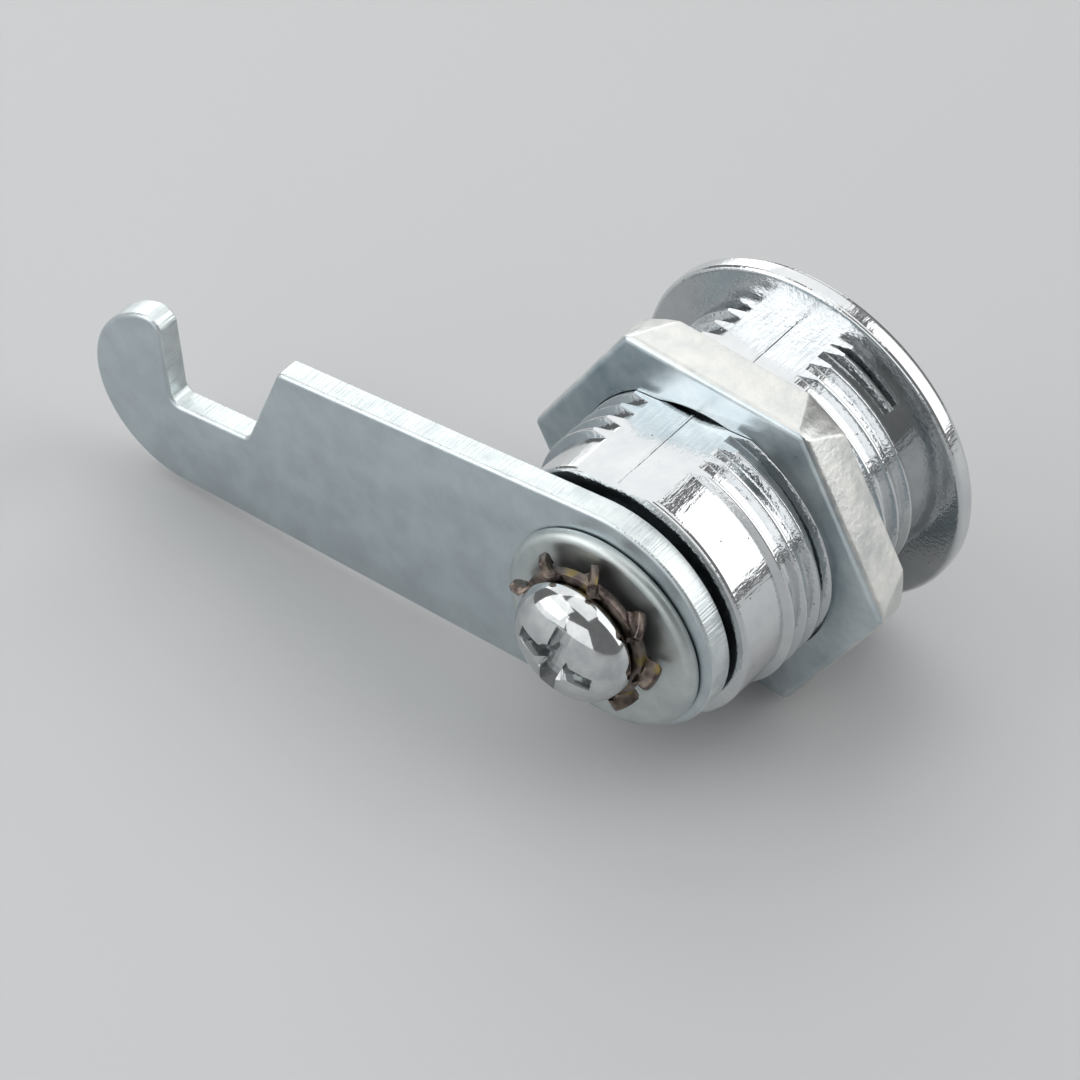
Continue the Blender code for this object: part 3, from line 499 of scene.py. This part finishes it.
@dataclass
class Housing:
    """The die-cast housing: crowned flange, threaded barrel with two flats, plain nose."""

    flange_radius: float = 11.5
    flange_front: float = -2.0
    rim_front: float = -1.0
    rim_inset: float = 0.15
    lip: float = 0.12
    seat_radius: float = 7.3
    seat_y: float = -0.6
    bore_radius: float = 6.3
    barrel_end: float = 16.4
    thread_end: float = 13.9
    nose_round: float = 0.3
    nose_band: float = 0.45
    flat: float = 8.0
    recess_y: float = 15.4
    recess_radius: float = 7.5
    recess_angle: float = 61.0
    seam_half: float = 0.10
    seam_rise: float = 0.05
    seam_sunk: float = 0.1
    seam_start: float = 0.02
    seam_stop: float = 0.3
    seam_bevel: float = 0.04
    crown_steps: int = 12
    steps: int = 240

    def section(self, thread: Thread) -> list[tuple[float, float]]:
        """Draw the casting's section, from the plug's seat over the flange to the nose's bore.

        Args:
            thread: the thread, whose root is the barrel's radius.

        Returns:
            Its (radius, y) points, in order.
        """
        crown = []
        reach = self.flange_radius - self.rim_inset - self.seat_radius - self.lip
        for step in range(self.crown_steps + 1):
            angle = math.pi / 2 * step / self.crown_steps
            crown.append((self.seat_radius + self.lip + reach * math.sin(angle),
                          self.rim_front - self.lip
                          + (self.flange_front - self.rim_front + self.lip) * math.cos(angle)))
        rim = soften([(self.flange_radius - self.rim_inset, self.rim_front - self.lip, 0.0),
                      (self.flange_radius, self.rim_front + 0.05, 0.12),
                      (self.flange_radius, 0.0, 0.30),
                      (self.flange_radius - 0.4, 0.0, 0.0), (thread.root, 0.0, 0.0)])[1:]
        barrel = [(thread.root, 0.05), (thread.root, self.thread_end),
                  (thread.root, self.barrel_end - self.nose_band)]
        nose = soften([(thread.root, self.thread_end, 0.0), (thread.root, self.barrel_end, self.nose_round),
                       (self.bore_radius, self.barrel_end, 0.05)])[1:]
        inside = [(self.bore_radius, self.seat_y), (self.seat_radius, self.seat_y),
                  (self.seat_radius, self.flange_front + self.lip)]
        return crown + rim + barrel + nose + inside

    def build(self, thread: Thread) -> bpy.types.Object:
        """Build the housing's casting with its thread, flats, stop recess and seam.

        Args:
            thread: the thread that is wound on the barrel.

        Returns:
            The finished piece.
        """
        work = turned(self.section(thread), self.steps)
        past = thread.crest + 1.0
        sector = (arc((0, 0), self.recess_radius, -self.recess_angle, self.recess_angle, 40)
                  + arc((0, 0), self.bore_radius - 0.5, self.recess_angle, -self.recess_angle, 40))
        seam = block((-self.seam_half, self.seam_start, self.flat - self.seam_sunk),
                     (self.seam_half, self.barrel_end - self.seam_stop, self.flat + self.seam_rise))
        long_edges = [edge for edge in seam.edges if min(v.co.z for v in edge.verts) > self.flat
                      and abs(edge.verts[0].co.y - edge.verts[1].co.y) > 1.0]
        bmesh.ops.bevel(seam, geom=long_edges, offset=self.seam_bevel, segments=2, affect="EDGES",
                        profile=0.5, material=-1)
        work = combined(work, [
            ("UNION", thread.build()),
            ("DIFFERENCE", block((-past, 0.0, self.flat), (past, self.barrel_end + 1.0, past))),
            ("DIFFERENCE", block((-past, 0.0, -past), (past, self.barrel_end + 1.0, -self.flat))),
            ("DIFFERENCE", slab(sector, self.recess_y, self.barrel_end + 1.0))])
        work = joined(work, seam)
        return finished(work, "housing_casting", Body.HOUSING, "housing",
                        [CHROME.make()], 14.0)


@dataclass
class PanelNut:
    """The hexagon nut that clamps the panel, plated over a rolled hexagon bar.

    Its threaded lip closes over the barrel's flats. Elsewhere it is cleared to the barrel's
    own section, so that the nut slides along the thread without touching it.
    """

    across: float = 22.0
    near: float = 6.15
    far: float = 9.15
    turn: float = 8.6
    corner_cut: float = 0.8
    corner_end: float = 0.15
    edge_roll: float = 0.5
    bore: float = 8.3
    groove: float = 9.0
    clear_radius: float = 9.05
    clear_half: float = 8.05
    mouth: float = 0.18
    countersink: float = 0.3
    edge_bevel: float = 0.09

    def build(self) -> bpy.types.Object:
        """Build the nut: a rounded hexagon prism cut to its chamfers and threaded bore.

        Returns:
            The finished piece.
        """
        corner = self.across / math.sqrt(3.0)
        work = bmesh.new()
        # the cone's first corner lies on its +y, which the second turn brings to -z
        stand = (Matrix.Translation((0.0, (self.near + self.far) / 2.0, 0.0))
                 @ Matrix.Rotation(math.radians(30.0 - self.turn), 4, "Y")
                 @ Matrix.Rotation(-math.pi / 2, 4, "X"))
        bmesh.ops.create_cone(work, cap_ends=True, segments=6, radius1=corner, radius2=corner,
                              depth=self.far - self.near, matrix=stand)
        outer = [edge for edge in work.edges
                 if all(abs(vert.co.y - self.far) < 0.01 for vert in edge.verts)]
        bmesh.ops.bevel(work, geom=outer, offset=self.edge_roll, segments=5, affect="EDGES", profile=0.5,
                        material=-1)
        cut, end, past = corner - self.corner_cut, corner - self.corner_end, self.far + 1.0
        roll = arc((self.bore + self.mouth, self.far - self.mouth), self.mouth, 90.0, 180.0, 6)
        wider = self.bore + self.countersink
        ring = ([(cut, self.near - 1.0), (cut, self.near), (end, self.far), (end, past),
                 (self.bore + self.mouth, past)] + roll
                + [(self.bore, self.near + self.countersink), (wider, self.near), (wider, self.near - 1.0)])
        groove = Thread(root=self.bore, crest=self.groove, first=self.far + 1.0, turns=4, fade=0.01)
        wide = math.degrees(math.asin(self.clear_half / self.clear_radius))
        # the barrel's own section with room to slide: two round sides joined by two flats
        room = (arc((0.0, 0.0), self.clear_radius, -wide, wide, 64)
                + arc((0.0, 0.0), self.clear_radius, 180.0 - wide, 180.0 + wide, 64))
        work = combined(work, [("INTERSECT", turned(ring, 192)), ("DIFFERENCE", groove.build()),
                               ("DIFFERENCE", slab(room, self.near - 1.0, past))])
        for face in work.faces:
            outside = face.calc_center_median().xz.length > self.across / 2 - 0.8
            face.material_index = 1 if outside and abs(face.normal.y) < 0.5 else 0
        edges = [edge for edge in work.edges if len(edge.link_faces) == 2
                 and edge.calc_face_angle(0.0) > math.radians(25.0)
                 and all(vert.co.xz.length > self.across / 2 - 0.5 for vert in edge.verts)]
        bmesh.ops.bevel(work, geom=edges, offset=self.edge_bevel, segments=2, affect="EDGES",
                        profile=0.5, material=-1)
        return finished(work, "panel_nut", Body.NUT, "hex_nut",
                        [NUT_FACE.make(), NUT_SIDE.make()])


@dataclass
class HookCam:
    """The hooked cam: a pressed plate with a rolled rim, a post, a notch and a hook."""

    near: float = 16.8
    far: float = 18.4
    end_radius: float = 7.6
    end_drop: float = 0.3
    hook: tuple[float, float] = (32.75, 0.8)
    hook_radius: float = 6.29
    floor_z: float = 0.65
    floor_length: float = 6.1
    wall_lean: float = 28.0
    tip_inset: float = 0.35
    corner: float = 0.7
    tip_round: float = 1.0
    post_round: float = 0.6
    tip_reach: float = 1.6
    tip_step: float = 0.2
    hole: float = 8.4
    roll: float = 0.30
    near_roll: float = 0.06

    def outline(self) -> list[tuple[float, float]]:
        """Draw the outline: round end, arm, hook, notch and post.

        Returns:
            Its (x, z) points, in order.
        """
        hook = Vector(self.hook)
        end = (0.0, -self.end_drop)
        arm = hook - Vector(end)
        spread = math.degrees(math.asin((self.end_radius - self.hook_radius) / arm.length))
        bearing = math.degrees(math.atan2(arm.y, arm.x))
        top, low = 90.0 + bearing - spread, -90.0 + bearing + spread
        inner = hook.x + self.tip_inset
        start = inner - self.floor_length
        edge_a = Vector(arc(end, self.end_radius, top, top, 1)[0])
        edge_b = Vector(arc(self.hook, self.hook_radius, top, top, 1)[0])
        lean = math.tan(math.radians(self.wall_lean))
        slope = (edge_b.y - edge_a.y) / (edge_b.x - edge_a.x)
        rise = edge_a.y + slope * (start - edge_a.x) - self.floor_z
        post_z = self.floor_z + rise / (1.0 + slope * lean)
        tip_z = hook.y + math.sqrt(self.hook_radius ** 2 - self.tip_inset ** 2)
        tip_angle = math.degrees(math.acos((self.tip_inset + self.tip_reach * self.tip_round)
                                           / self.hook_radius))
        ends = arc(end, self.end_radius, top, 360.0 + low, 72)
        ends += arc(self.hook, self.hook_radius, low, tip_angle, 48)
        corners = [(x, z, 0.0) for x, z in ends]
        corners += [(inner - self.tip_step, tip_z, self.tip_round), (inner, self.floor_z, self.corner),
                    (start, self.floor_z, self.corner),
                    (start - lean * (post_z - self.floor_z), post_z, self.post_round)]
        return soften(corners, 12)

    def build(self) -> bpy.types.Object:
        """Build the cam, rolling the rim that faces away from the housing.

        Returns:
            The finished piece.
        """
        half = self.hole / 2
        work = combined(slab(self.outline(), self.near, self.far),
                        [("DIFFERENCE", block((-half, self.near - 1, -half), (half, self.far + 1, half)))])
        for face in work.faces:
            face.material_index = 0 if abs(face.normal.y) > 0.9 else 1
        for height, roll, rounds in ((self.far, self.roll, 6), (self.near, self.near_roll, 2)):
            rim = [edge for edge in work.edges
                   if all(abs(vert.co.y - height) < 0.001 and max(abs(vert.co.x), abs(vert.co.z)) > half + 0.5
                          for vert in edge.verts) and edge.calc_face_angle(0.0) > 1.0]
            bmesh.ops.bevel(work, geom=rim, offset=roll, segments=rounds, affect="EDGES", profile=0.5,
                            material=-1, clamp_overlap=True)
        return finished(work, "hook_cam", Body.PLUG, "cam",
                        [CAM_ZINC.make(), CAM_EDGE.make()], 12.0)


@dataclass
class CamFasteners:
    """What holds the cam on: flat washer, toothed lock washer and pan-head screw."""

    washer_near: float = 18.5
    washer_far: float = 19.2
    washer_radius: float = 6.7
    washer_hole: float = 3.1
    washer_sag: float = 0.9
    star_y: float = 20.221
    star_half: float = 0.3
    star_bore: float = 2.2
    star_body: float = 4.25
    star_tip: float = 5.15
    star_teeth: int = 8
    star_width: float = 2.1
    star_first: float = 15.0
    star_twist: float = -50.0
    star_uneven: float = 5.0
    tooth_half: float = 0.24
    tooth_root: float = 0.55
    tooth_bend: float = 0.55
    tooth_curl: float = 0.05
    tooth_crown: float = 0.14
    tooth_taper: float = 0.26
    tooth_bevel: float = 0.09
    head_base: float = 20.621
    head_radius: float = 3.9
    head_height: float = 2.73
    undercut: float = 0.5
    foot_inset: float = 0.28
    fullness: float = 0.8
    dome_steps: int = 28
    shank_radius: float = 1.9
    shank_length: float = 5.6
    cross_depth: float = 1.15
    cross_length: float = 6.2
    cross_foot: float = 0.7
    cross_width: float = 1.25
    cross_turn: float = 20.5
    funnel: float = 1.75
    funnel_foot: float = 0.25
    funnel_depth: float = 0.85
    past: float = 0.4
    recess_bevel: float = 0.07

    def build_washer(self) -> bpy.types.Object:
        """Build the flat washer with its rolled rim, hanging down by its play.

        Returns:
            The finished piece.
        """
        section = soften([(self.washer_radius, self.washer_near, 0.06),
                          (self.washer_radius, self.washer_far, 0.6),
                          (self.washer_hole, self.washer_far, 0.1),
                          (self.washer_hole, self.washer_near, 0.1)], 8)
        work = turned(section, 192)
        bmesh.ops.translate(work, verts=work.verts, vec=(0.0, 0.0, -self.washer_sag))
        return finished(work, "flat_washer", Body.PLUG, "cam_washer",
                        [WASHER_ZINC.make()], 50.0)

    def build_star(self) -> bpy.types.Object:
        """Build the lock washer: a flat ring whose outer teeth are twisted out of it.

        Returns:
            The finished piece.
        """
        low, high = self.star_y - self.star_half, self.star_y + self.star_half
        work = turned(soften([(self.star_body, low, 0.1), (self.star_body, high, 0.1),
                              (self.star_bore, high, 0.1), (self.star_bore, low, 0.1)], 3), 96)
        start = self.star_body - self.tooth_root
        length = self.star_tip - start
        for index in range(self.star_teeth):
            tooth = bmesh.new()
            bmesh.ops.create_cube(tooth, size=1.0, matrix=Matrix.Translation((start + length / 2, 0, 0))
                                  @ Matrix.Diagonal((length, 2 * self.tooth_half, self.star_width, 1.0)))
            along = [edge for edge in tooth.edges if abs(edge.verts[0].co.x - edge.verts[1].co.x) > 0.5]
            bmesh.ops.subdivide_edges(tooth, edges=along, cuts=7, use_grid_fill=True)
            across = [edge for edge in tooth.edges if abs(edge.verts[0].co.z - edge.verts[1].co.z) > 0.5]
            bmesh.ops.subdivide_edges(tooth, edges=across, cuts=5, use_grid_fill=True)
            # no two teeth of a stamped washer are bent alike
            bend = math.radians(self.star_twist + self.star_uneven * math.sin(index * 2.4))
            for vert in tooth.verts:
                share = smooth((vert.co.x - start) / (length * self.tooth_bend))
                aside = (abs(vert.co.z) / (self.star_width / 2)) ** 2
                twist = Matrix.Rotation(bend * share, 3, "X")
                vert.co.y += self.tooth_curl * share * aside
                vert.co.x -= self.tooth_crown * share * aside
                vert.co.z *= 1.0 - self.tooth_taper * share
                vert.co = twist @ vert.co
            edges = [edge for edge in tooth.edges if edge.calc_face_angle(0.0) > math.radians(50.0)]
            bmesh.ops.bevel(tooth, geom=edges, offset=self.tooth_bevel, segments=2, affect="EDGES",
                            profile=0.5, material=-1)
            angle = math.radians(self.star_first) + math.tau * index / self.star_teeth
            # a turn about +y by a negative angle carries +x towards +z
            around = Matrix.Translation((0.0, self.star_y, 0.0)) @ Matrix.Rotation(-angle, 4, "Y")
            bmesh.ops.transform(tooth, matrix=around, verts=tooth.verts)
            work = joined(work, tooth)
        return finished(work, "star_lock_washer", Body.PLUG, "star_washer",
                        [STAR_STEEL.make()], 45.0)

    def build_screw(self) -> bpy.types.Object:
        """Build the pan-head screw and sink its cross recess.

        Returns:
            The finished piece.
        """
        top = self.head_base + self.head_height
        rise = self.head_height - self.undercut
        dome = []
        for step in range(1, self.dome_steps):
            angle = math.pi / 2 * step / self.dome_steps
            dome.append((self.head_radius * math.cos(angle) ** self.fullness,
                         self.head_base + self.undercut + rise * math.sin(angle)))
        dome.append((0.0, top))
        foot = soften([(self.shank_radius, self.head_base - self.shank_length, 0.0),
                       (self.shank_radius, self.head_base, 0.0),
                       (self.head_radius - self.foot_inset, self.head_base, 0.12),
                       (self.head_radius, self.head_base + self.undercut * 0.8, 0.25),
                       (self.head_radius, self.head_base + self.undercut, 0.0)], 5)
        work = turned([(0.0, self.head_base - self.shank_length)] + foot + dome, 144, closed=False)
        cuts = []
        for turn in (self.cross_turn, self.cross_turn + 90.0):
            slot = bmesh.new()
            bmesh.ops.create_cone(slot, cap_ends=True, segments=4,
                                  radius1=self.cross_foot * self.cross_length * math.sqrt(0.5),
                                  radius2=self.cross_length * math.sqrt(0.5),
                                  depth=self.cross_depth + self.past,
                                  matrix=Matrix.Rotation(math.pi / 4, 4, "Z"))
            bmesh.ops.scale(slot, vec=(1.0, self.cross_width / self.cross_length, 1.0), verts=slot.verts)
            stand = (Matrix.Translation((0.0, top - (self.cross_depth - self.past) / 2, 0.0))
                     @ Matrix.Rotation(-math.radians(turn), 4, "Y")
                     @ Matrix.Rotation(-math.pi / 2, 4, "X"))
            bmesh.ops.transform(slot, matrix=stand, verts=slot.verts)
            cuts.append(("DIFFERENCE", slot))
        funnel = bmesh.new()
        stand = (Matrix.Translation((0.0, top - (self.funnel_depth - self.past) / 2, 0.0))
                 @ Matrix.Rotation(-math.pi / 2, 4, "X"))
        bmesh.ops.create_cone(funnel, cap_ends=True, segments=48, radius1=self.funnel_foot * self.funnel,
                              radius2=self.funnel, depth=self.funnel_depth + self.past, matrix=stand)
        work = combined(work, cuts + [("DIFFERENCE", funnel)])
        edges = [edge for edge in work.edges if len(edge.link_faces) == 2 and edge.is_convex
                 and edge.calc_face_angle(0.0) > math.radians(28.0)
                 and all(vert.co.y > self.head_base + self.undercut + 0.6 for vert in edge.verts)]
        bmesh.ops.bevel(work, geom=edges, offset=self.recess_bevel, segments=3, affect="EDGES",
                        profile=0.5, material=-1, clamp_overlap=True)
        return finished(work, "pan_head_screw", Body.PLUG, "cam_screw",
                        [SCREW_PLATE.make()], 30.0)


@dataclass
class Springs:
    """The coil springs of the wafers and of the retainer."""

    wire: float = 0.11
    turns: float = 5.5
    steps: int = 28
    wafer_play: float = 0.4
    retainer_play: float = 0.9

    def build_one(self, node: str,
                  wire_finish: bpy.types.Material) -> bpy.types.Object:
        """Wind one spring in its CAD node's box.

        Args:
            node: CAD node that it stands for.
            wire_finish: the wire's material.

        Returns:
            The coil.
        """
        low, high = (Vector(corner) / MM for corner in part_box(node))
        middle = (low + high) / 2.0
        radius = (high.x - low.x) / 2.0 - self.wire
        count = round(self.turns * self.steps)
        work = bmesh.new()
        bmesh.ops.create_circle(work, segments=10, radius=self.wire,
                                matrix=Matrix.Translation((middle.x + radius, middle.y, low.z + self.wire))
                                @ Matrix.Rotation(math.pi / 2, 4, "X"))
        bmesh.ops.spin(work, geom=work.verts[:] + work.edges[:], cent=(middle.x, middle.y, 0.0),
                       axis=(0, 0, 1), angle=math.tau * self.turns, steps=count,
                       dvec=(0.0, 0.0, (high.z - low.z - 2.0 * self.wire) / count))
        bmesh.ops.holes_fill(work, edges=[edge for edge in work.edges if edge.is_boundary], sides=0)
        bmesh.ops.recalc_face_normals(work, faces=work.faces)
        coil = finished(work, f"coil_{node}", Body.PLUG, node, [wire_finish], 50.0)
        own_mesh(coil)
        return coil

    def build(self) -> None:
        """Build every wafer's spring and the retainer's."""
        wire_finish = SPRING_WIRE.make()
        for index in range(1, 6):
            self.build_one(f"wafer_spring_{index}",
                           wire_finish)
        self.build_one("retaining_spring", wire_finish)


class Inner(Enum):
    """The inner pieces that stay as CAD nodes, each with its finish."""

    PLUG = ("plug", PLUG_NICKEL)
    STOP = ("stop_washer", STOP_ZINC)
    WAFER = ("wafer_", WAFER_BRASS)
    RETAINER = ("retaining_wafer", WAFER_BRASS)


def dress_inner_pieces() -> None:
    """Give every CAD node that stays visible its finish."""
    made: dict[str, bpy.types.Material] = {}
    for name, node in sorted(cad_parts.items()):
        found = [kind.value[1] for kind in Inner if name.startswith(kind.value[0])]
        if not found or "spring" in name:
            continue
        finish = found[0]
        if finish.name not in made:
            made[finish.name] = finish.make()
        node.data.materials.clear()
        node.data.materials.append(made[finish.name])
        LOG.info("%s: %s", name, finish.name)


# The studio

@dataclass(frozen=True)
class SoftBox:
    """A rectangular lamp: its place and size in millimetres and its power in watts."""

    name: str
    place: tuple[float, float, float]
    size: tuple[float, float]
    power: float

    def hang(self, facing: Vector) -> None:
        """Add the lamp to the scene.

        Args:
            facing: the point in millimetres that it faces.
        """
        light = bpy.data.lights.new(self.name, "AREA")
        light.shape = "RECTANGLE"
        light.size, light.size_y = self.size[0] * MM, self.size[1] * MM
        light.energy = self.power
        lamp = bpy.data.objects.new(self.name, light)
        lamp.location = Vector(self.place) * MM
        lamp.rotation_euler = (facing - Vector(self.place)).to_track_quat("-Z", "Y").to_euler()
        bpy.context.scene.collection.objects.link(lamp)


SOFT_BOXES = (
    SoftBox("back_box", (322.0, -332.0, 400.0), (700.0, 700.0), 1.68),
    SoftBox("top_box", (-60.0, 20.0, 420.0), (400.0, 400.0), 0.55),
    SoftBox("left_box", (240.0, 248.0, 300.0), (400.0, 400.0), 0.66),
    SoftBox("side_box", (-330.0, -236.0, 210.0), (420.0, 520.0), 1.15),
    SoftBox("low_box", (330.0, -215.0, 90.0), (260.0, 260.0), 0.26),
    SoftBox("far_box", (275.0, 330.0, 190.0), (460.0, 300.0), 0.50),
    SoftBox("front_box", (-60.0, 420.0, 90.0), (300.0, 300.0), 0.32),
)


@dataclass
class Studio:
    """Pale floor, soft boxes, plain surroundings and the camera.

    The floor's slope is its rise along x and y, as the lock lies tilted on it. The camera's
    right and up are its own directions, and its eye is in millimetres.
    """

    floor_shade: str = "#BBBCBD"
    floor_origin: float = -12.06
    floor_slope: tuple[float, float] = (0.1455, 0.0521)
    floor_half: float = 700.0
    surround: float = 0.22
    lit_point: tuple[float, float, float] = (12.0, 8.0, 0.0)
    lens: float = 191.69
    eye: tuple[float, float, float] = (-166.478, 194.952, 216.204)
    right: tuple[float, float, float] = (-0.77342, -0.62569, -0.10164)
    up: tuple[float, float, float] = (0.35442, -0.55978, 0.74902)

    def build_floor(self) -> None:
        """Build the floor that the lock lies on, tilted as it lies in its own frame."""
        material = bpy.data.materials.new("matte_pale_board")
        material.use_nodes = True
        shader = material.node_tree.nodes["Principled BSDF"]
        shader.inputs["Base Color"].default_value = linear(self.floor_shade)
        shader.inputs["Roughness"].default_value = 0.55
        work = bmesh.new()
        bmesh.ops.create_grid(work, x_segments=1, y_segments=1, size=self.floor_half)
        rise_x, rise_y = self.floor_slope
        for vert in work.verts:
            vert.co.z = self.floor_origin + rise_x * vert.co.x + rise_y * vert.co.y
        bmesh.ops.scale(work, vec=(MM, MM, MM), verts=work.verts)
        floor = loose_object(work, "floor")
        floor.data.materials.append(material)

    def build_lights(self) -> None:
        """Set the surroundings and the soft boxes."""
        world = bpy.data.worlds.new("plain_studio")
        bpy.context.scene.world = world
        world.use_nodes = True
        background = world.node_tree.nodes["Background"]
        background.inputs["Color"].default_value = (1.0, 1.0, 1.0, 1.0)
        background.inputs["Strength"].default_value = self.surround
        for soft_box in SOFT_BOXES:
            soft_box.hang(Vector(self.lit_point))

    def build_camera(self) -> None:
        """Place the camera at the photograph's viewing angle."""
        right, up = Vector(self.right), Vector(self.up)
        back = right.cross(up)
        camera = bpy.data.objects.new("camera", bpy.data.cameras.new("camera"))
        camera.data.lens = self.lens
        camera.data.sensor_width = 36.0
        camera.data.clip_start = 0.01
        camera.matrix_world = Matrix.LocRotScale(Vector(self.eye) * MM,
                                                 Matrix((right, up, back)).transposed(), None)
        bpy.context.scene.collection.objects.link(camera)
        bpy.context.scene.camera = camera


def main() -> None:
    """Build the lock's pieces and its studio."""
    logging.basicConfig(level=logging.INFO, format="%(name)s: %(message)s")
    bpy.context.scene.view_settings.view_transform = "Standard"
    thread = Thread()
    Housing().build(thread)
    PanelNut().build()
    HookCam().build()
    fasteners = CamFasteners()
    fasteners.build_washer()
    fasteners.build_star()
    fasteners.build_screw()
    Springs().build()
    dress_inner_pieces()
    studio = Studio()
    studio.build_floor()
    studio.build_lights()
    studio.build_camera()


if __name__ == "__main__":
    main()
